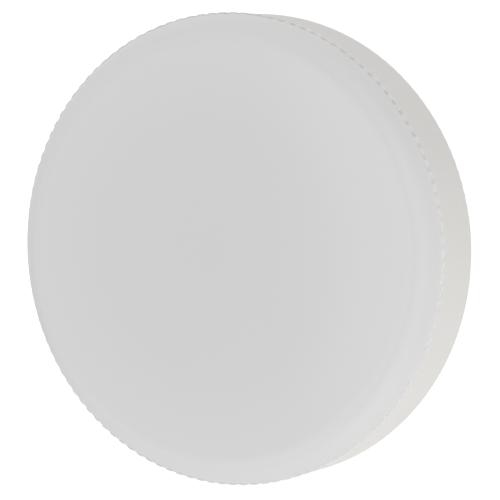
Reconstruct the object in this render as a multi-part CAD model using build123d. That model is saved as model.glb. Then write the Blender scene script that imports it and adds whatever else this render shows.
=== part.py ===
from build123d import *
from math import atan2, cos, degrees, pi, radians, sin, tan
import os

# Disc lamp that pushes and twists into a two-pin holder, in millimetres.
# It lies on the end of its base boss with the light side up. +Z leaves the light face,
# the contact pins stand on the X axis, and the origin is the middle of the boss's flat end.

# Diffuser: crowned shade, toothed grip flange, and a skirt that snaps into the housing
lamp_diameter = 75.0  # over the tooth tips
tooth_count = 120
tooth_depth = 0.15
tooth_land = 0.9  # flat tip of a tooth
tooth_floor = 0.7  # flat bottom between two teeth
flange_thickness = 0.6
shade_setback = 0.1  # shade wall inside the tooth roots
shade_height = 4.3  # flange to the middle of the crown
crown_rise = 0.9
shade_draft = 1.25  # radius that the side wall loses on its way up
edge_round = 4.9
edge_straight = 0.15  # side wall left straight under the edge round, at least
shade_wall = 1.4
skirt_wall = 1.2
skirt_clearance = 0.1
lug_count = 6
lug_width = 8.0
lug_height = 0.9
lug_reach = 0.45
lug_drop = 1.2  # rim edge to the top of a lug
lug_clearance = 0.1

# Housing: one moulding with the rim, the shoulder and the base boss
rim_setback = 0.1  # rim inside the tooth tips
rim_height = 10.9
rim_draft = 0.05  # radius that the rim loses on its way to the shoulder
rim_wall = 1.5
rim_edge_round = 0.8
shoulder_wall = 1.8
boss_diameter = 41.0
boss_height = 10.6
boss_wall = 1.6
boss_floor = 1.6
boss_edge_round = 1.0
seat_rib_count = 12
seat_rib_width = 1.2
seat_rib_depth = 2.0
seat_rib_height = 3.1
ledge_count = 4
ledge_width = 2.4
ledge_depth = 2.0
ledge_height = 3.0
screw_boss_wall = 1.8

# Contact pins: turned, riveted through the shoulder, with a solder post inside
pin_spacing = 53.0
pin_head_diameter = 5.0
pin_head_height = 2.2
pin_head_round = 0.7
pin_neck_diameter = 3.2
pin_neck_length = 4.0
pin_flange_diameter = 6.4
pin_flange_thickness = 0.8  # let into the shoulder
pin_stem_diameter = 2.6
pin_rivet_diameter = 4.6
pin_rivet_thickness = 0.6
pin_post_diameter = 1.6
pin_post_length = 1.6
pin_clearance = 0.05

# Heat sink plate: pressed pan that lies on the seat ribs
plate_thickness = 1.0
plate_lip_height = 2.2
plate_clearance = 0.35
plate_bend = 0.8  # bevel outside the bend
wire_hole_diameter = 6.0

# Metal-core board with two rings of LEDs
led_board_thickness = 1.0
led_board_margin = 2.0  # to the lip of the plate
led_length = 3.5
led_width = 2.8
led_height = 0.7
led_frame = 0.35
led_pocket_depth = 0.15
led_corner_cut = 0.6
outer_led_count = 12
inner_led_count = 6
led_ring_step = 11.0
led_screw_gap = 0.7
outer_led_angle = 15.0  # of the first LED in each ring
inner_led_angle = 30.0

# Self-tapping screws that hold the board and the plate
screw_count = 3
screw_start_angle = 90.0
screw_diameter = 2.5
screw_length = 5.0
screw_head_diameter = 5.0
screw_head_height = 1.6
screw_head_chamfer = 0.5
screw_recess_width = 0.8
screw_recess_length = 2.6
screw_recess_depth = 0.9
screw_edge = 3.2  # screw axis to the edge of the LED board
screw_clearance = 0.05
screw_hole_clearance = 0.2  # in the board and the plate
pilot_depth = 0.4  # below the screw's end

# Driver board
driver_board_thickness = 1.2
driver_board_clearance = 0.4
lead_width = 0.6  # square leads of the driver parts
lead_hole_clearance = 0.1
lead_stub = 1.2  # lead left below the board

# Electrolytic capacitors, lying on the driver board
can_diameter = 6.3
can_length = 11.0
can_edge_bevel = 0.4
can_crimp_depth = 0.35
can_crimp_width = 0.8
can_crimp_place = 1.8  # from the lead end
can_lead_pitch = 2.5
can_lead_reach = 1.8
can_lift = 0.1
can_edge = 8.1  # can's axis to the edge of the driver board

# Film capacitor, standing
film_length = 9.0
film_width = 3.6
film_height = 6.5
film_round = 0.6
film_lead_pitch = 7.0
film_y = -12.0

# Choke: drum core with its winding
choke_diameter = 8.0
choke_height = 7.4
choke_flange = 1.1
choke_hub_diameter = 3.6
choke_winding_diameter = 7.0
choke_lead_pitch = 5.0
choke_y = 9.6

# Fuse resistor, lying, with a lead at each end
fuse_diameter = 2.4
fuse_length = 6.4
fuse_waist = 0.2
fuse_cap_length = 1.2
fuse_lead_reach = 1.5
fuse_lift = 0.1
fuse_y = -6.6

# Flat parts under the driver board: bridge, chip, diode and chip resistors
smd_place_y = -1.4
bridge_length = 4.7
bridge_width = 3.9
bridge_height = 1.7
bridge_x = -5.4
bridge_leg_pitch = 2.5
chip_length = 4.9
chip_width = 3.9
chip_height = 1.5
chip_x = 5.4
chip_leg_pitch = 1.27
leg_width = 0.5
leg_reach = 1.0
leg_thickness = 0.3
diode_length = 4.3
diode_width = 2.6
diode_height = 1.8
diode_y = 4.6
diode_tab_width = 1.5
diode_tab_reach = 0.5
sense_length = 3.2
sense_width = 1.6
sense_height = 0.6
sense_x = 11.2

# Insulated leads inside the lamp
lead_insulation = 1.3
mains_lead_arc = 3.2
led_lead_arc = 1.6
led_lead_lift = 0.05
lead_pad_inset = 3.0  # mains pad inside the driver board's edge
lead_pad_angle = 33.0
led_pad_x = 7.0
led_lead_x = 1.3
post_gap = 0.05

# How far cutting shapes overrun a face
overrun = 1.0

# Heights from the boss's end
seat_z = boss_height
floor_z = seat_z + shoulder_wall
plate_z = floor_z + seat_rib_height
board_z = plate_z + plate_thickness
led_z = board_z + led_board_thickness
rim_z = seat_z + rim_height
flange_z = rim_z + flange_thickness
crown_z = flange_z + shade_height
lip_z = plate_z + plate_lip_height
skirt_z = lip_z + plate_clearance
driver_z = boss_floor + ledge_height
driver_top_z = driver_z + driver_board_thickness
mains_lead_z = floor_z + pin_rivet_thickness + pin_post_length / 2

# Radii from the lamp's axis
tip_r = lamp_diameter / 2
root_r = tip_r - tooth_depth
shade_r = root_r - shade_setback
rim_r = tip_r - rim_setback
bore_r = rim_r - rim_wall
skirt_r = bore_r - skirt_clearance
plate_r = bore_r - plate_clearance
led_board_r = plate_r - plate_thickness - led_board_margin
screw_r = led_board_r - screw_edge
outer_led_r = screw_r - screw_head_diameter / 2 - led_screw_gap - led_width / 2
inner_led_r = outer_led_r - led_ring_step
boss_r = boss_diameter / 2
cavity_r = boss_r - boss_wall
driver_board_r = cavity_r - driver_board_clearance
can_x = driver_board_r - can_edge
pin_x = pin_spacing / 2

# Lead holes in the driver board, left and right of each part's middle
can_lead_y = can_length / 2 + can_lead_reach
fuse_lead_x = fuse_length / 2 + fuse_lead_reach
lead_holes = [(side * fuse_lead_x, fuse_y) for side in (-1, 1)]
lead_holes += [(side * film_lead_pitch / 2, film_y) for side in (-1, 1)]
lead_holes += [(side * choke_lead_pitch / 2, choke_y) for side in (-1, 1)]
for can_side in (-1, 1):
    for lead_side in (-1, 1):
        lead_holes.append((can_side * can_x + lead_side * can_lead_pitch / 2, can_lead_y))


def polar(radius, angle):
    return (radius * cos(radians(angle)), radius * sin(radians(angle)))


def post(radius, low, high, x=0, y=0):
    return Pos(x, y, low) * Cylinder(radius, high - low, align=(Align.CENTER, Align.CENTER, Align.MIN))


def block(length, width, low, high, x=0, y=0):
    return Pos(x, y, low) * Box(length, width, high - low, align=(Align.CENTER, Align.CENTER, Align.MIN))


def turned(*points):
    return revolve(Plane.XZ * make_face(Polyline(*points, close=True)), Axis.Z)


def rounded(section, x, z, radius):
    return fillet(section.vertices().sort_by_distance((x, z, 0))[0], radius)


def bevelled(section, x, z, length):
    return chamfer(section.vertices().sort_by_distance((x, z, 0))[0], length)


def wire(points, arc, diameter):
    path = FilletPolyline(*points, radius=arc)
    return sweep(Plane(path @ 0, z_dir=path % 0) * Circle(diameter / 2), path=path)


def ring(shape, radius, count, start=0.0):
    return [place * shape for place in PolarLocations(radius, count, start)]


# Diffuser

def shade_solid(radius, top, low, round_wanted):
    # Solid with a crowned top and a drafted side, its edge rounded as far as the side allows
    corner = top - crown_rise
    top_r = radius - shade_draft
    crown = TangentArc((0, top), (top_r, corner), tangent=(1, 0))
    sides = Polyline((top_r, corner), (radius, low), (0, low), (0, top))
    turn = pi / 2 - atan2(shade_draft, corner - low) - 2 * atan2(crown_rise, top_r)
    edge = min(round_wanted, (corner - low - edge_straight) / tan(turn / 2))
    section = rounded(make_face([crown, sides]), top_r, corner, edge)
    return revolve(Plane.XZ * section, Axis.Z)


def toothed_flange():
    pitch = 360 / tooth_count
    half_land = degrees(tooth_land / tip_r) / 2
    half_floor = degrees(tooth_floor / root_r) / 2
    outline = []
    for tooth in range(tooth_count):
        middle = tooth * pitch
        floor = middle + pitch / 2
        outline += [polar(tip_r, middle - half_land), polar(tip_r, middle + half_land)]
        outline += [polar(root_r, floor - half_floor), polar(root_r, floor + half_floor)]
    return Pos(0, 0, rim_z) * extrude(make_face(Polyline(*outline, close=True)), flange_thickness)


def snap_lugs():
    top = rim_z - lug_drop
    inside = skirt_r - skirt_wall / 2
    barb = make_face(Polyline(
        (inside, top), (skirt_r + lug_reach, top), (skirt_r, top - lug_height),
        (inside, top - lug_height), close=True))
    sweep_angle = degrees(lug_width / skirt_r)
    lug = revolve(Plane.XZ * barb, Axis.Z, revolution_arc=sweep_angle)
    return ring(lug, 0, lug_count)


def diffuser():
    shade = shade_solid(shade_r, crown_z, flange_z, edge_round)
    hollow = shade_solid(
        shade_r - shade_wall, crown_z - shade_wall, flange_z, edge_round - shade_wall / 2)
    skirt = post(skirt_r, skirt_z, rim_z)
    throat = post(skirt_r - skirt_wall, skirt_z - overrun, flange_z)
    return shade + toothed_flange() + skirt + snap_lugs() - hollow - throat


# Housing

def housing_shell():
    section = make_face(Polyline(
        (0, 0), (boss_r, 0), (boss_r, seat_z), (rim_r - rim_draft, seat_z), (rim_r, rim_z),
        (0, rim_z), close=True))
    section = rounded(section, boss_r, 0, boss_edge_round)
    section = rounded(section, rim_r - rim_draft, seat_z, rim_edge_round)
    inside = turned(
        (0, boss_floor), (cavity_r, boss_floor), (cavity_r, floor_z), (bore_r, floor_z),
        (bore_r, rim_z + overrun), (0, rim_z + overrun))
    return revolve(Plane.XZ * section, Axis.Z) - inside


def snap_groove():
    top = rim_z - lug_drop + lug_clearance
    low = rim_z - lug_drop - lug_height - lug_clearance
    deep = skirt_r + lug_reach + lug_clearance
    return post(deep, low, top) - post(bore_r, low, top)


def wall_ribs(wall_r, wall, count, width, depth, low, high, start):
    # Ribs that stand on a floor against a round wall and end inside it
    length = depth + wall / 2
    rib = block(length, width, low, high)
    return ring(rib, wall_r - depth + length / 2, count, start)


def pin_seats():
    seats = []
    for side in (-1, 1):
        hole_r = pin_stem_diameter / 2 + pin_clearance
        pocket_r = pin_flange_diameter / 2 + pin_clearance
        seats.append(post(hole_r, seat_z - overrun, floor_z + overrun, side * pin_x))
        seats.append(post(pocket_r, seat_z - overrun, seat_z + pin_flange_thickness, side * pin_x))
    return seats


def housing():
    pilot_r = screw_diameter / 2 + screw_clearance
    pilot = post(pilot_r, led_z - screw_length - pilot_depth, plate_z + overrun)
    seat_ribs = wall_ribs(
        bore_r, rim_wall, seat_rib_count, seat_rib_width, seat_rib_depth,
        floor_z - shoulder_wall / 2, plate_z, 180 / seat_rib_count)
    ledges = wall_ribs(
        cavity_r, boss_wall, ledge_count, ledge_width, ledge_depth,
        boss_floor / 2, driver_z, 180 / ledge_count)
    screw_boss = post(pilot_r + screw_boss_wall, floor_z - shoulder_wall / 2, plate_z)
    body = housing_shell() + seat_ribs + ledges + ring(screw_boss, screw_r, screw_count, screw_start_angle)
    return body - ring(pilot, screw_r, screw_count, screw_start_angle) - pin_seats() - snap_groove()


def contact_pin():
    head_r = pin_head_diameter / 2
    neck_r = pin_neck_diameter / 2
    flange_r = pin_flange_diameter / 2
    stem_r = pin_stem_diameter / 2
    rivet_r = pin_rivet_diameter / 2
    post_r = pin_post_diameter / 2
    neck_low = seat_z - pin_neck_length
    tip = neck_low - pin_head_height
    flange_top = seat_z + pin_flange_thickness
    rivet_top = floor_z + pin_rivet_thickness
    section = make_face(Polyline(
        (0, tip), (head_r, tip), (head_r, neck_low), (neck_r, neck_low), (neck_r, seat_z),
        (flange_r, seat_z), (flange_r, flange_top), (stem_r, flange_top), (stem_r, floor_z),
        (rivet_r, floor_z), (rivet_r, rivet_top), (post_r, rivet_top),
        (post_r, rivet_top + pin_post_length), (0, rivet_top + pin_post_length), close=True))
    section = rounded(section, head_r, tip, pin_head_round)
    return revolve(Plane.XZ * section, Axis.Z)


# Light engine

def board_holes(low, high):
    hole_r = screw_diameter / 2 + screw_hole_clearance
    screw_hole = post(hole_r, low - overrun, high + overrun)
    wire_hole = post(wire_hole_diameter / 2, low - overrun, high + overrun)
    return ring(screw_hole, screw_r, screw_count, screw_start_angle) + [wire_hole]


def heat_sink_plate():
    inner_r = plate_r - plate_thickness
    section = make_face(Polyline(
        (0, plate_z), (plate_r, plate_z), (plate_r, lip_z), (inner_r, lip_z), (inner_r, board_z),
        (0, board_z), close=True))
    section = bevelled(section, plate_r, plate_z, plate_bend)
    return revolve(Plane.XZ * section, Axis.Z) - board_holes(plate_z, board_z)


def led_board():
    return post(led_board_r, board_z, led_z) - board_holes(board_z, led_z)


def led():
    # Package with a light pocket on top and one corner cut off to mark its polarity
    body = block(led_width, led_length, led_z, led_z + led_height)
    pocket_low = led_z + led_height - led_pocket_depth
    pocket = block(
        led_width - 2 * led_frame, led_length - 2 * led_frame, pocket_low, led_z + led_height + overrun)
    corner = body.edges().filter_by(Axis.Z).sort_by_distance((led_width, led_length, led_z))[0]
    return chamfer(corner, led_corner_cut) - pocket


def board_screw():
    head_r = screw_head_diameter / 2
    head_top = led_z + screw_head_height
    shank = post(screw_diameter / 2, led_z - screw_length, led_z)
    head = turned(
        (0, led_z), (head_r, led_z), (head_r, head_top - screw_head_chamfer),
        (head_r - screw_head_chamfer, head_top), (0, head_top))
    recess_low = head_top - screw_recess_depth
    slot = block(screw_recess_length, screw_recess_width, recess_low, head_top + overrun)
    return head + shank - slot - Rot(0, 0, 90) * slot


# Driver

def lead_pair(pitch, y):
    # Two straight leads that hang from a part through the driver board
    return [
        block(lead_width, lead_width, driver_z - lead_stub, driver_top_z, side * pitch / 2, y)
        for side in (-1, 1)]


def bent_lead(reach, middle_z):
    # Lead that leaves a lying part along +X, then turns down through the board
    half = lead_width / 2
    low = driver_z - lead_stub
    side_view = Polyline(
        (0, middle_z - half), (reach - half, middle_z - half), (reach - half, low), (reach + half, low),
        (reach + half, middle_z + half), (0, middle_z + half), close=True)
    return extrude(Plane.XZ * make_face(side_view), half, both=True)


def driver_board():
    hole = lead_width + 2 * lead_hole_clearance
    low = driver_z - overrun
    high = driver_top_z + overrun
    holes = [block(hole, hole, low, high, x, y) for x, y in lead_holes]
    return post(driver_board_r, driver_z, driver_top_z) - holes


def capacitor_can(x):
    can_r = can_diameter / 2
    half = can_length / 2
    crimp = half - can_crimp_place
    section = make_face(Polyline(
        (0, -half), (can_r, -half), (can_r, crimp - can_crimp_width / 2), (can_r - can_crimp_depth, crimp),
        (can_r, crimp + can_crimp_width / 2), (can_r, half), (0, half), close=True))
    section = bevelled(section, can_r, -half, can_edge_bevel)
    section = bevelled(section, can_r, half, can_edge_bevel)
    middle_z = driver_top_z + can_lift + can_r
    body = Pos(x, 0, middle_z) * Rot(-90, 0, 0) * revolve(Plane.XZ * section, Axis.Z)
    lead = Rot(0, 0, 90) * bent_lead(can_lead_reach, middle_z)
    return body + [Pos(x + side * can_lead_pitch / 2, half) * lead for side in (-1, 1)]


def film_capacitor():
    body = block(film_length, film_width, driver_top_z, driver_top_z + film_height, 0, film_y)
    body = fillet(body.edges().filter_by(Axis.Z), film_round)
    return body + lead_pair(film_lead_pitch, film_y)


def choke_core():
    rim = choke_diameter / 2
    hub = choke_hub_diameter / 2
    top = driver_top_z + choke_height
    body = turned(
        (0, driver_top_z), (rim, driver_top_z), (rim, driver_top_z + choke_flange),
        (hub, driver_top_z + choke_flange), (hub, top - choke_flange), (rim, top - choke_flange),
        (rim, top), (0, top))
    return Pos(0, choke_y) * body + lead_pair(choke_lead_pitch, choke_y)


def choke_winding():
    low = driver_top_z + choke_flange
    high = driver_top_z + choke_height - choke_flange
    coil = post(choke_winding_diameter / 2, low, high, 0, choke_y)
    return coil - post(choke_hub_diameter / 2, low, high, 0, choke_y)


def fuse_resistor():
    cap_r = fuse_diameter / 2
    waist_r = cap_r - fuse_waist
    half = fuse_length / 2
    waist = half - fuse_cap_length
    body = turned(
        (0, -half), (cap_r, -half), (cap_r, -waist), (waist_r, -waist), (waist_r, waist),
        (cap_r, waist), (cap_r, half), (0, half))
    middle_z = driver_top_z + fuse_lift + cap_r
    lead = Pos(half) * bent_lead(fuse_lead_reach, middle_z)
    leads = [Pos(0, fuse_y) * Rot(0, 0, turn) * lead for turn in (0, 180)]
    return Pos(0, fuse_y, middle_z) * Rot(0, 90, 0) * body + leads


def leg_rows(x, width, pitch, per_side):
    # Flat legs along both long sides of a package under the board
    legs = []
    for side in (-1, 1):
        for leg in range(per_side):
            leg_x = x + (leg - (per_side - 1) / 2) * pitch
            leg_y = smd_place_y + side * width / 2
            legs.append(block(leg_width, 2 * leg_reach, driver_z - leg_thickness, driver_z, leg_x, leg_y))
    return legs


def bridge_rectifier():
    body = block(bridge_length, bridge_width, driver_z - bridge_height, driver_z, bridge_x, smd_place_y)
    return body + leg_rows(bridge_x, bridge_width, bridge_leg_pitch, 2)


def driver_chip():
    body = block(chip_length, chip_width, driver_z - chip_height, driver_z, chip_x, smd_place_y)
    return body + leg_rows(chip_x, chip_width, chip_leg_pitch, 4)


def output_diode():
    body = block(diode_length, diode_width, driver_z - diode_height, driver_z, 0, diode_y)
    tab_length = diode_length + 2 * diode_tab_reach
    return body + block(tab_length, diode_tab_width, driver_z - leg_thickness, driver_z, 0, diode_y)


def sense_resistor(side):
    return block(sense_width, sense_length, driver_z - sense_height, driver_z, side * sense_x, smd_place_y)


# Leads

def mains_lead(side):
    # From its pad on the driver board up and out to the post of its pin
    x, y = polar(driver_board_r - lead_pad_inset, -lead_pad_angle)
    run = Vector(pin_x - x, -y, 0)
    stop = Vector(pin_x, 0, mains_lead_z) - run.normalized() * (pin_post_diameter / 2 + post_gap)
    points = [(x, y, driver_top_z), (x, y, mains_lead_z), (stop.X, stop.Y, mains_lead_z)]
    lead = wire(points, mains_lead_arc, lead_insulation)
    return lead if side > 0 else Rot(0, 0, 180) * lead


def led_lead(side):
    # From the middle of the driver board through the wire holes, then flat along the LED board
    x = side * led_lead_x
    top = led_z + lead_insulation / 2 + led_lead_lift
    points = [(x, 0, driver_top_z), (x, 0, top), (side * led_pad_x, 0, top)]
    return wire(points, led_lead_arc, lead_insulation)


nodes = {
    "diffuser": diffuser(),
    "housing": housing(),
    "contact_pin_left": Pos(-pin_x) * contact_pin(),
    "contact_pin_right": Pos(pin_x) * contact_pin(),
    "heat_sink_plate": heat_sink_plate(),
    "led_board": led_board(),
    "board_screws": Compound(ring(board_screw(), screw_r, screw_count, screw_start_angle)),
    "driver_board": driver_board(),
    "input_capacitor": capacitor_can(-can_x),
    "output_capacitor": capacitor_can(can_x),
    "film_capacitor": film_capacitor(),
    "choke_core": choke_core(),
    "choke_winding": choke_winding(),
    "fuse_resistor": fuse_resistor(),
    "bridge_rectifier": bridge_rectifier(),
    "driver_chip": driver_chip(),
    "output_diode": output_diode(),
    "sense_resistor_left": sense_resistor(-1),
    "sense_resistor_right": sense_resistor(1),
    "mains_lead_left": mains_lead(-1),
    "mains_lead_right": mains_lead(1),
    "led_lead_positive": led_lead(1),
    "led_lead_negative": led_lead(-1),
}
for number, package in enumerate(ring(led(), outer_led_r, outer_led_count, outer_led_angle), 1):
    nodes[f"led_outer_{number:02d}"] = package
for number, package in enumerate(ring(led(), inner_led_r, inner_led_count, inner_led_angle), 1):
    nodes[f"led_inner_{number}"] = package

os.makedirs("parts", exist_ok=True)
for name, shape in nodes.items():
    export_step(shape, f"parts/{name}.step")
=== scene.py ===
import math
import bmesh
import bpy
from mathutils import Matrix, Vector

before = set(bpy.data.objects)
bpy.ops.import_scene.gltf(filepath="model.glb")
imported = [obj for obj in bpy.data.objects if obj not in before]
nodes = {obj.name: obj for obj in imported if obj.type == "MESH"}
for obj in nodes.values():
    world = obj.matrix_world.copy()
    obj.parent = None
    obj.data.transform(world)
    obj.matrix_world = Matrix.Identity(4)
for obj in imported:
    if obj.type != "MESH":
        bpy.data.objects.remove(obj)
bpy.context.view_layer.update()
mm = 0.001
print("frame loaded:", len(nodes), "nodes")

# The photo looks down on the light face, with the near rim turned to the right
photoView = {
    "tilt": 28.52,  # degrees between the lamp's axis and the line of sight
    "roll": 6.925,
    "azimuth": 0.45,
    "distance": 0.45,
    "lens": 204.56,
    "aim": (0, 0, 0.0218),  # middle of the toothed flange
    "aimPixel": (227.93, 249.56),
    "imageSize": 500,
    "clip": (0.01, 50),
}


def placeCamera(v):
    tilt, roll, azimuth = (math.radians(v[k]) for k in ("tilt", "roll", "azimuth"))
    near = Vector((math.sin(azimuth), -math.cos(azimuth), 0))
    axis = Vector((0, 0, 1))
    back = near * math.sin(tilt) + axis * math.cos(tilt)
    away = axis * math.sin(tilt) - near * math.cos(tilt)
    side = back.cross(away)
    right = side * math.sin(roll) - away * math.cos(roll)
    up = -away * math.sin(roll) - side * math.cos(roll)
    data = bpy.data.cameras.new("photoCamera")
    data.lens = v["lens"]
    data.clip_start, data.clip_end = v["clip"]
    pixels = v["lens"] / data.sensor_width * v["imageSize"]
    px, py = (p - v["imageSize"] / 2 for p in v["aimPixel"])
    place = Vector(v["aim"]) + back * v["distance"]
    place += (up * py - right * px) * v["distance"] / pixels
    camera = bpy.data.objects.new("photoCamera", data)
    camera.matrix_world = Matrix((right, up, back)).transposed().to_4x4()
    camera.location = place
    bpy.context.scene.collection.objects.link(camera)
    bpy.context.scene.camera = camera


placeCamera(photoView)
print("camera placed")


grainDetail = 3.0  # layers of finer noise in a grain


def linear(hexColour):
    # sRGB hex to the linear colour that shaders take
    parts = [int(hexColour[i:i + 2], 16) / 255 for i in (1, 3, 5)]
    return tuple(p / 12.92 if p <= 0.04045 else ((p + 0.055) / 1.055) ** 2.4 for p in parts) + (1.0,)


def addNode(tree, kind, settings=None, values=None, links=None):
    node = tree.nodes.new(kind)
    for name, value in (settings or {}).items():
        setattr(node, name, value)
    for socket, value in (values or {}).items():
        node.inputs[socket].default_value = value
    for socket, source in (links or {}).items():
        tree.links.new(source, node.inputs[socket])
    return node


def newFinish(name, values):
    material = bpy.data.materials.new(name)
    material.use_nodes = True
    tree = material.node_tree
    tree.nodes.clear()
    shader = addNode(tree, "ShaderNodeBsdfPrincipled", values=values)
    addNode(tree, "ShaderNodeOutputMaterial", links={"Surface": shader.outputs["BSDF"]})
    place = addNode(tree, "ShaderNodeTexCoord").outputs["Object"]
    return material, tree, shader, place


# Opal polycarbonate, moulded with a fine matte texture: soft, even white with a faint satin gloss.
# The ring tones are painted light and shade: darker at the middle and on the outer slope, paler between,
# with a pale ring over the shade's inner corner and a painted shadow line just outside it, clearest on the
# -Y side.
# The thin toothed edge is painted paler, painted light for the light that passes through it. Painted shade
# lies in its grooves and a little on the teeth, strongest on the +X side, away from the low key.
opal = {
    # painted light and shade: ring tones darker at the middle and on the outer slope, with a painted shadow
    # line outside the pale ring
    "faintRings": [(0, "#E3E2E2"), (20, "#E4E3E3"), (28, "#E6E5E5"), (33.2, "#E7E6E6"), (33.9, "#E8E7E7"),
                   (34.5, "#E6E5E5"), (35.4, "#E5E4E4"), (36, "#E4E3E3"), (36.8, "#E2E1E1")],
    "clearRings": [(0, "#E3E2E2"), (20, "#E6E5E5"), (26, "#E8E7E7"), (32.6, "#E9E8E8"), (33.6, "#E8E7E7"),
                   (34.15, "#E5E4E4"), (34.8, "#E6E5E5"), (35.4, "#E6E5E5"), (36, "#E4E3E3"),
                   (36.8, "#E1E0E0")],  # radius in millimetres
    "faintAt": -8.0,  # millimetres along Y
    "clearAt": -26.0,
    # painted light: the ledge is painted paler where its corner with the shade's wall would be shaded, and
    # the tooth faces paler too
    "ledge": "#EBEAEA",
    "ledgeTop": 22.15,  # heights and radius in millimetres
    "tooth": "#E5E4E4",
    "toothTop": 22.08,
    "toothTip": 37.5,
    "toothCount": 120,
    # painted shade in the grooves, strongest on the +X side
    "grooveShade": "#D0CFCB",
    "film": 0.2,  # share of the painted groove shade that also lies on the teeth
    "grooveShadeCore": 0.2,  # millimetres from the middle of a groove
    "grooveShadeReach": 0.6,
    "unshadedAt": -6.0,  # millimetres along X
    "shadedAt": 18.0,
    "roughness": 0.6,
    "spread": 1.0,  # light wanders inside the wall, so the edge shades softly
    "ior": 1.58,
    "grain": 0.25,  # matte grain, drawn coarse enough to show
    "grainDepth": 0.004,
}


def opalPolycarbonate(s):
    material, tree, shader, place = newFinish(
        "opal polycarbonate, matte moulded",
        {"Roughness": s["roughness"], "Diffuse Roughness": s["spread"], "IOR": s["ior"]})
    flat = addNode(tree, "ShaderNodeVectorMath", {"operation": "MULTIPLY"}, {1: (1, 1, 0)}, {0: place})
    out = addNode(tree, "ShaderNodeVectorMath", {"operation": "LENGTH"}, links={0: flat.outputs[0]})
    reach = s["clearRings"][-1][0]
    share = addNode(tree, "ShaderNodeMapRange", values={"From Max": reach * mm},
                    links={"Value": out.outputs["Value"]})
    tones = []
    for stops in (s["faintRings"], s["clearRings"]):
        ramp = addNode(tree, "ShaderNodeValToRGB", links={"Fac": share.outputs["Result"]})
        ramp.color_ramp.elements.remove(ramp.color_ramp.elements[1])
        for i, (radius, colour) in enumerate(stops):
            stop = ramp.color_ramp.elements.new(radius / reach) if i else ramp.color_ramp.elements[0]
            stop.position, stop.color = radius / reach, linear(colour)
        tones.append(ramp.outputs["Color"])
    along = addNode(tree, "ShaderNodeSeparateXYZ", links={0: place})
    # the painted ring shading is clearest towards -Y
    clearness = addNode(tree, "ShaderNodeMapRange", {"interpolation_type": "SMOOTHSTEP"},
                        {"From Min": s["faintAt"] * mm, "From Max": s["clearAt"] * mm},
                        {"Value": along.outputs["Y"]})
    rings = addNode(tree, "ShaderNodeMix", {"data_type": "RGBA"},
                    links={"Factor": clearness.outputs["Result"], "A": tones[0], "B": tones[1]})
    edge = addNode(tree, "ShaderNodeMath", {"operation": "LESS_THAN"}, {1: s["ledgeTop"] * mm},
                   {0: along.outputs["Z"]})
    teeth = addNode(tree, "ShaderNodeMath", {"operation": "LESS_THAN"}, {1: s["toothTop"] * mm},
                    {0: along.outputs["Z"]})
    # painted light: the ledge and the tooth faces are painted paler than the rings
    shade = addNode(tree, "ShaderNodeMix", {"data_type": "RGBA"}, {"B": linear(s["ledge"])},
                    {"Factor": edge.outputs[0], "A": rings.outputs["Result"]})
    beforeGrooveShade = addNode(tree, "ShaderNodeMix", {"data_type": "RGBA"}, {"B": linear(s["tooth"])},
                    {"Factor": teeth.outputs[0], "A": shade.outputs["Result"]})
    turn = addNode(tree, "ShaderNodeMath", {"operation": "ARCTAN2"},
                   links={0: along.outputs["Y"], 1: along.outputs["X"]})
    halfPitch = math.pi / s["toothCount"]
    fromTooth = addNode(tree, "ShaderNodeMath", {"operation": "PINGPONG"}, {1: halfPitch},
                        {0: turn.outputs[0]})
    # painted shade in the grooves, a little also on the teeth, strongest towards +X
    groove = addNode(tree, "ShaderNodeMapRange",
                     values={"From Min": halfPitch - s["grooveShadeReach"] / s["toothTip"],
                             "From Max": halfPitch - s["grooveShadeCore"] / s["toothTip"], "To Min": s["film"]},
                     links={"Value": fromTooth.outputs[0]})
    side = addNode(tree, "ShaderNodeMapRange",
                   values={"From Min": s["unshadedAt"] * mm, "From Max": s["shadedAt"] * mm},
                   links={"Value": along.outputs["X"]})
    grooveShadeOnSide = addNode(tree, "ShaderNodeMath", {"operation": "MULTIPLY"},
                      links={0: groove.outputs["Result"], 1: side.outputs["Result"]})
    grooveShadeFactor = addNode(tree, "ShaderNodeMath", {"operation": "MULTIPLY"},
                    links={0: grooveShadeOnSide.outputs[0], 1: edge.outputs[0]})
    tone = addNode(tree, "ShaderNodeMix", {"data_type": "RGBA"}, {"B": linear(s["grooveShade"])},
                   {"Factor": grooveShadeFactor.outputs[0], "A": beforeGrooveShade.outputs["Result"]})
    tree.links.new(tone.outputs["Result"], shader.inputs["Base Color"])
    grain = addNode(tree, "ShaderNodeTexNoise",
                    values={"Scale": 1 / (s["grain"] * mm), "Detail": grainDetail}, links={"Vector": place})
    bump = addNode(tree, "ShaderNodeBump", values={"Distance": s["grainDepth"] * mm},
                   links={"Height": grain.outputs["Fac"]})
    tree.links.new(bump.outputs["Normal"], shader.inputs["Normal"])
    return material


# Warm white PBT, moulded: dense, slightly creamy white with a soft gloss and faint flow marks
pbt = {
    "light": "#E4E2DF",
    "dark": "#E0DEDB",
    "flow": 14.0,
    "roughness": 0.7,
    "ior": 1.57,
    "grain": 0.3,  # spark-eroded mould texture, drawn coarse enough to show
    "grainDepth": 0.004,
}


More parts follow.
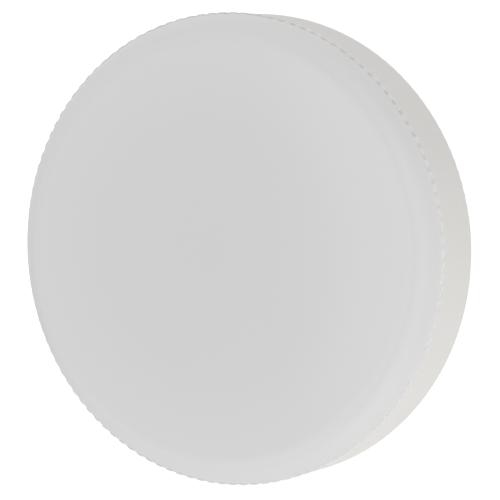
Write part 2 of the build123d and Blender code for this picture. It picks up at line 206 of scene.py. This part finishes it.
def mouldedPbt(s):
    material, tree, shader, place = newFinish(
        "warm white PBT, moulded", {"Roughness": s["roughness"], "IOR": s["ior"]})
    flow = addNode(tree, "ShaderNodeTexNoise", values={"Scale": 1 / (s["flow"] * mm)},
                   links={"Vector": place})
    tone = addNode(tree, "ShaderNodeMix", {"data_type": "RGBA"},
                   {"A": linear(s["dark"]), "B": linear(s["light"])}, {"Factor": flow.outputs["Fac"]})
    tree.links.new(tone.outputs["Result"], shader.inputs["Base Color"])
    grain = addNode(tree, "ShaderNodeTexNoise",
                    values={"Scale": 1 / (s["grain"] * mm), "Detail": grainDetail}, links={"Vector": place})
    bump = addNode(tree, "ShaderNodeBump", values={"Distance": s["grainDepth"] * mm},
                   links={"Height": grain.outputs["Fac"]})
    tree.links.new(bump.outputs["Normal"], shader.inputs["Normal"])
    return material


# Nickel-plated brass, turned: warm grey metal with fine rings round each pin
nickel = {
    "light": "#D3CCBF",
    "dark": "#B9B1A3",
    "roughness": 0.26,
    "stain": 1.5,
    "ringPitch": 0.12,
    "ringDepth": 0.002,
}


def turnedNickel(s):
    material, tree, shader, place = newFinish(
        "nickel-plated brass, turned", {"Metallic": 1.0, "Roughness": s["roughness"]})
    stain = addNode(tree, "ShaderNodeTexNoise", values={"Scale": 1 / (s["stain"] * mm)},
                    links={"Vector": place})
    tone = addNode(tree, "ShaderNodeMix", {"data_type": "RGBA"},
                   {"A": linear(s["dark"]), "B": linear(s["light"])}, {"Factor": stain.outputs["Fac"]})
    tree.links.new(tone.outputs["Result"], shader.inputs["Base Color"])
    waveScale = math.pi / 10 / (s["ringPitch"] * mm)  # a wave texture's bands are pi / 10 apart at scale 1
    rings = addNode(tree, "ShaderNodeTexWave", {"bands_direction": "Z"}, {"Scale": waveScale},
                    {"Vector": place})
    bump = addNode(tree, "ShaderNodeBump", values={"Distance": s["ringDepth"] * mm},
                   links={"Height": rings.outputs["Fac"]})
    tree.links.new(bump.outputs["Normal"], shader.inputs["Normal"])
    return material


# Sheet and board stock: two close tones drawn out along the way the sheet was rolled, woven or coated
aluminium = {
    "name": "aluminium sheet, rolled and pressed",  # silvery, with fine rolling lines along X
    "light": "#CFD1D3",
    "dark": "#B4B7BA",
    "metallic": 1.0,
    "roughness": 0.34,
    "grain": 0.3,
    "stretch": (0.05, 1, 1),
    "depth": 0.003,
}
solderMask = {
    "name": "white solder mask on a metal-core board, cured",  # flat white with a slight orange peel
    "light": "#EEEFEC",
    "dark": "#E3E5E1",
    "metallic": 0.0,
    "roughness": 0.33,
    "grain": 0.8,
    "stretch": (1, 1, 1),
    "depth": 0.004,
}
glassEpoxy = {
    "name": "green solder mask on glass epoxy, laminated",  # green, with the weave as faint cross lines
    "light": "#3F7A4A",
    "dark": "#2C5B38",
    "metallic": 0.0,
    "roughness": 0.38,
    "grain": 0.6,
    "stretch": (1, 0.25, 1),
    "depth": 0.004,
}
zinc = {
    "name": "steel, zinc-plated and passivated",  # cool grey metal, cloudy in patches
    "light": "#D2D6D9",
    "dark": "#AEB5BC",
    "metallic": 1.0,
    "roughness": 0.3,
    "grain": 0.9,
    "stretch": (1, 1, 1),
    "depth": 0.002,
}
copper = {
    "name": "copper wire, enamelled and wound",  # glossy red-brown turns lying side by side
    "light": "#C9744A",
    "dark": "#9A4A2A",
    "metallic": 1.0,
    "roughness": 0.24,
    "grain": 0.3,
    "stretch": (0.02, 0.02, 1),
    "depth": 0.02,
}
whiteWire = {
    "name": "white PVC insulation, extruded",  # soft white, smooth along the wire
    "light": "#E9E8E4",
    "dark": "#DDDCD7",
    "metallic": 0.0,
    "roughness": 0.36,
    "grain": 1.0,
    "stretch": (1, 1, 1),
    "depth": 0.003,
}
redWire = {**whiteWire, "name": "red PVC insulation, extruded", "light": "#C2322B", "dark": "#A82620"}
blackWire = {**whiteWire, "name": "black PVC insulation, extruded", "light": "#2E2E30", "dark": "#242426"}


def stock(s):
    material, tree, shader, place = newFinish(
        s["name"], {"Metallic": s["metallic"], "Roughness": s["roughness"]})
    drawn = addNode(tree, "ShaderNodeVectorMath", {"operation": "MULTIPLY"}, {1: s["stretch"]},
                    {0: place})
    grain = addNode(tree, "ShaderNodeTexNoise",
                    values={"Scale": 1 / (s["grain"] * mm), "Detail": grainDetail},
                    links={"Vector": drawn.outputs[0]})
    tone = addNode(tree, "ShaderNodeMix", {"data_type": "RGBA"},
                   {"A": linear(s["dark"]), "B": linear(s["light"])}, {"Factor": grain.outputs["Fac"]})
    tree.links.new(tone.outputs["Result"], shader.inputs["Base Color"])
    bump = addNode(tree, "ShaderNodeBump", values={"Distance": s["depth"] * mm},
                   links={"Height": grain.outputs["Fac"]})
    tree.links.new(bump.outputs["Normal"], shader.inputs["Normal"])
    return material


# White LED packages, moulded and dispensed: matte white frames round amber phosphor
package = {
    "frame": "#F1F0EA",
    "phosphor": "#E3B541",
    "pocketTop": 18.12,  # millimetres
    "upward": 0.9,  # least lift of a face that counts as the pocket's floor
    "roughness": 0.4,
    "grain": 0.12,
    "depth": 0.004,
}


def ledPackage(s):
    material, tree, shader, place = newFinish(
        "white LED package, moulded and dispensed", {"Roughness": s["roughness"]})
    height = addNode(tree, "ShaderNodeSeparateXYZ", links={0: place}).outputs["Z"]
    low = addNode(tree, "ShaderNodeMath", {"operation": "LESS_THAN"}, {1: s["pocketTop"] * mm},
                  {0: height})
    facing = addNode(tree, "ShaderNodeTexCoord").outputs["Normal"]
    lift = addNode(tree, "ShaderNodeSeparateXYZ", links={0: facing}).outputs["Z"]
    flat = addNode(tree, "ShaderNodeMath", {"operation": "GREATER_THAN"}, {1: s["upward"]}, {0: lift})
    pocket = addNode(tree, "ShaderNodeMath", {"operation": "MULTIPLY"},
                     links={0: low.outputs[0], 1: flat.outputs[0]})
    tone = addNode(tree, "ShaderNodeMix", {"data_type": "RGBA"},
                   {"A": linear(s["frame"]), "B": linear(s["phosphor"])}, {"Factor": pocket.outputs[0]})
    tree.links.new(tone.outputs["Result"], shader.inputs["Base Color"])
    grain = addNode(tree, "ShaderNodeTexNoise", values={"Scale": 1 / (s["grain"] * mm)},
                    links={"Vector": place})
    bump = addNode(tree, "ShaderNodeBump", values={"Distance": s["depth"] * mm},
                   links={"Height": grain.outputs["Fac"]})
    tree.links.new(bump.outputs["Normal"], shader.inputs["Normal"])
    return material


# Driver parts: a mottled body with tinned leads, and stripes where the real part has them.
# Tin lies further than "half" from "middle" along the axis, in millimetres; a stripe lies nearer.
tinned = {
    "colour": "#C4C6C8",  # dipped leads: bright, slightly dull grey
    "roughness": 0.28,
}
sleeve = {
    "name": "dark PVC sleeve on a capacitor can, shrunk",  # dark, semi-gloss, one pale side stripe
    "light": "#33384A",
    "dark": "#272B3A",
    "roughness": 0.3,
    "mottle": 2.0,
    "tin": ("Y", -5.0, 10.5),
    "stripes": [("X", 0.0, 8.3, "#B9BEC9")],
}
film = {
    "name": "red-brown epoxy, dipped",  # glossy, slightly uneven coat
    "light": "#8C3A26",
    "dark": "#74301F",
    "roughness": 0.22,
    "mottle": 1.2,
    "tin": ("Z", 20.0, 14.2),
    "stripes": [],
}
ferrite = {
    "name": "ferrite, sintered",  # dull dark grey with a dusty grain
    "light": "#4A4846",
    "dark": "#353432",
    "roughness": 0.7,
    "mottle": 0.4,
    "tin": ("Z", 20.0, 14.2),
    "stripes": [],
}
resistorCoat = {
    "name": "grey-blue flameproof coat, dipped",  # chalky coat with colour bands round it
    "light": "#8FA3B3",
    "dark": "#7B90A1",
    "roughness": 0.5,
    "mottle": 0.8,
    "tin": ("X", 0.0, 3.2),
    "stripes": [("X", -2.2, 0.3, "#5B2F1C"), ("X", -1.0, 0.3, "#1F1F20"),
                ("X", 0.2, 0.3, "#1F1F20"), ("X", 2.2, 0.3, "#C9A14A")],
}
epoxy = {
    "name": "black epoxy, transfer moulded",  # matte charcoal body between bright legs
    "light": "#2C2C2E",
    "dark": "#222224",
    "roughness": 0.55,
    "mottle": 0.5,
    "tin": ("Y", -1.4, 1.951),
    "stripes": [],
}
diodeEpoxy = {**epoxy, "name": "black epoxy, transfer moulded diode", "tin": ("X", 0.0, 2.151),
              "stripes": [("X", -1.5, 0.3, "#BFBFC0")]}
chipCoat = {
    "name": "black glaze on ceramic, fired",  # small black block with bright ends
    "light": "#2A2A2C",
    "dark": "#202022",
    "roughness": 0.35,
    "mottle": 0.4,
    "tin": ("Y", -1.4, 1.2),
    "stripes": [],
}


def driverPart(s):
    material, tree, shader, place = newFinish(s["name"], {})
    along = addNode(tree, "ShaderNodeSeparateXYZ", links={0: place})

    def beyond(axis, middle, half):
        off = addNode(tree, "ShaderNodeMath", {"operation": "SUBTRACT"}, {1: middle * mm},
                      {0: along.outputs[axis]})
        size = addNode(tree, "ShaderNodeMath", {"operation": "ABSOLUTE"}, links={0: off.outputs[0]})
        return addNode(tree, "ShaderNodeMath", {"operation": "GREATER_THAN"}, {1: half * mm},
                       {0: size.outputs[0]}).outputs[0]

    mottle = addNode(tree, "ShaderNodeTexNoise", values={"Scale": 1 / (s["mottle"] * mm)},
                     links={"Vector": place})
    tone = addNode(tree, "ShaderNodeMix", {"data_type": "RGBA"},
                   {"A": linear(s["dark"]), "B": linear(s["light"])}, {"Factor": mottle.outputs["Fac"]})
    for axis, middle, half, colour in s["stripes"]:
        tone = addNode(tree, "ShaderNodeMix", {"data_type": "RGBA"}, {"A": linear(colour)},
                       {"Factor": beyond(axis, middle, half), "B": tone.outputs["Result"]})
    tin = beyond(*s["tin"])
    tone = addNode(tree, "ShaderNodeMix", {"data_type": "RGBA"}, {"B": linear(tinned["colour"])},
                   {"Factor": tin, "A": tone.outputs["Result"]})
    gloss = addNode(tree, "ShaderNodeMapRange",
                    values={"To Min": s["roughness"], "To Max": tinned["roughness"]}, links={"Value": tin})
    tree.links.new(tone.outputs["Result"], shader.inputs["Base Color"])
    tree.links.new(tin, shader.inputs["Metallic"])
    tree.links.new(gloss.outputs["Result"], shader.inputs["Roughness"])
    return material


finishes = {
    "diffuser": opalPolycarbonate(opal), "housing": mouldedPbt(pbt), "contact_pin": turnedNickel(nickel),
    "heat_sink_plate": stock(aluminium), "led_board": stock(solderMask), "board_screws": stock(zinc),
    "driver_board": stock(glassEpoxy), "choke_winding": stock(copper), "mains_lead": stock(whiteWire),
    "led_lead_positive": stock(redWire), "led_lead_negative": stock(blackWire),
    "led_outer": ledPackage(package), "input_capacitor": driverPart(sleeve),
    "film_capacitor": driverPart(film), "choke_core": driverPart(ferrite),
    "fuse_resistor": driverPart(resistorCoat), "driver_chip": driverPart(epoxy),
    "output_diode": driverPart(diodeEpoxy), "sense_resistor": driverPart(chipCoat),
}
sameAs = {"led_inner": "led_outer", "output_capacitor": "input_capacitor",
          "bridge_rectifier": "driver_chip"}
for name, node in nodes.items():
    kind = next((k for k in list(finishes) + list(sameAs) if name.startswith(k)))
    node.material_slots[0].material = finishes[sameAs.get(kind, kind)]
print("finishes made:", len(finishes))

# Studio: pale floor, a low soft key, a weaker high fill and soft light all round
studio = {
    "floorSize": 6.0,
    "floorDrop": 0.02,  # millimetres under the boss
    "paper": 0.8,
    "paperGlow": 0.56,  # lifts the paper to white where it is seen
    "tent": 0.64,  # strength of the soft light all round
    "lamps": {  # watts, and the side that the lamp stands on
        "lowKey": (2.75, (-0.918, -0.371, 0.139)),
        "highFill": (1.63, (0.287, -0.497, 0.819)),
    },
    "lampSize": 0.4,
    "lampDistance": 0.9,
}


def seenDirectly(tree):
    # 1 for rays from the camera, reflections and clear pieces, which show the white studio
    path = addNode(tree, "ShaderNodeLightPath")
    first = addNode(tree, "ShaderNodeMath", {"operation": "MAXIMUM"},
                    links={0: path.outputs["Is Camera Ray"], 1: path.outputs["Is Glossy Ray"]})
    both = addNode(tree, "ShaderNodeMath", {"operation": "MAXIMUM"},
                   links={0: first.outputs[0], 1: path.outputs["Is Transmission Ray"]})
    return both.outputs[0]


def layFloor(s):
    sheet = bmesh.new()
    bmesh.ops.create_grid(sheet, x_segments=1, y_segments=1, size=s["floorSize"] / 2)
    bmesh.ops.translate(sheet, verts=sheet.verts, vec=(0, 0, -s["floorDrop"] * mm))
    mesh = bpy.data.meshes.new("studioFloor")
    sheet.to_mesh(mesh)
    sheet.free()
    floor = bpy.data.objects.new("studioFloor", mesh)
    bpy.context.scene.collection.objects.link(floor)
    material = bpy.data.materials.new("matte white paper floor")
    material.use_nodes = True
    tree = material.node_tree
    tree.nodes.clear()
    paper = addNode(tree, "ShaderNodeBsdfDiffuse", values={"Color": (s["paper"],) * 3 + (1,)})
    glow = addNode(tree, "ShaderNodeEmission", values={"Strength": s["paperGlow"]})
    seen = addNode(tree, "ShaderNodeAddShader", links={0: paper.outputs[0], 1: glow.outputs[0]})
    mix = addNode(tree, "ShaderNodeMixShader",
                  links={0: seenDirectly(tree), 1: paper.outputs[0], 2: seen.outputs[0]})
    addNode(tree, "ShaderNodeOutputMaterial", links={"Surface": mix.outputs[0]})
    mesh.materials.append(material)


def lightStudio(s):
    world = bpy.data.worlds.new("whiteTent")
    bpy.context.scene.world = world
    world.use_nodes = True
    tree = world.node_tree
    tree.nodes.clear()
    tent = addNode(tree, "ShaderNodeBackground", values={"Color": (1, 1, 1, 1), "Strength": s["tent"]})
    white = addNode(tree, "ShaderNodeBackground", values={"Color": (1, 1, 1, 1), "Strength": 1.0})
    mix = addNode(tree, "ShaderNodeMixShader",
                  links={0: seenDirectly(tree), 1: tent.outputs[0], 2: white.outputs[0]})
    addNode(tree, "ShaderNodeOutputWorld", links={"Surface": mix.outputs[0]})
    for name, (power, side) in s["lamps"].items():
        data = bpy.data.lights.new(name, "AREA")
        data.energy, data.size = power, s["lampSize"]
        lamp = bpy.data.objects.new(name, data)
        way = Vector(side).normalized()
        lamp.location = way * s["lampDistance"]
        lamp.rotation_euler = way.to_track_quat("Z", "Y").to_euler()
        bpy.context.scene.collection.objects.link(lamp)
        lamp.visible_camera = False


layFloor(studio)
lightStudio(studio)
bpy.context.scene.view_settings.view_transform = "Standard"
print("studio lit")
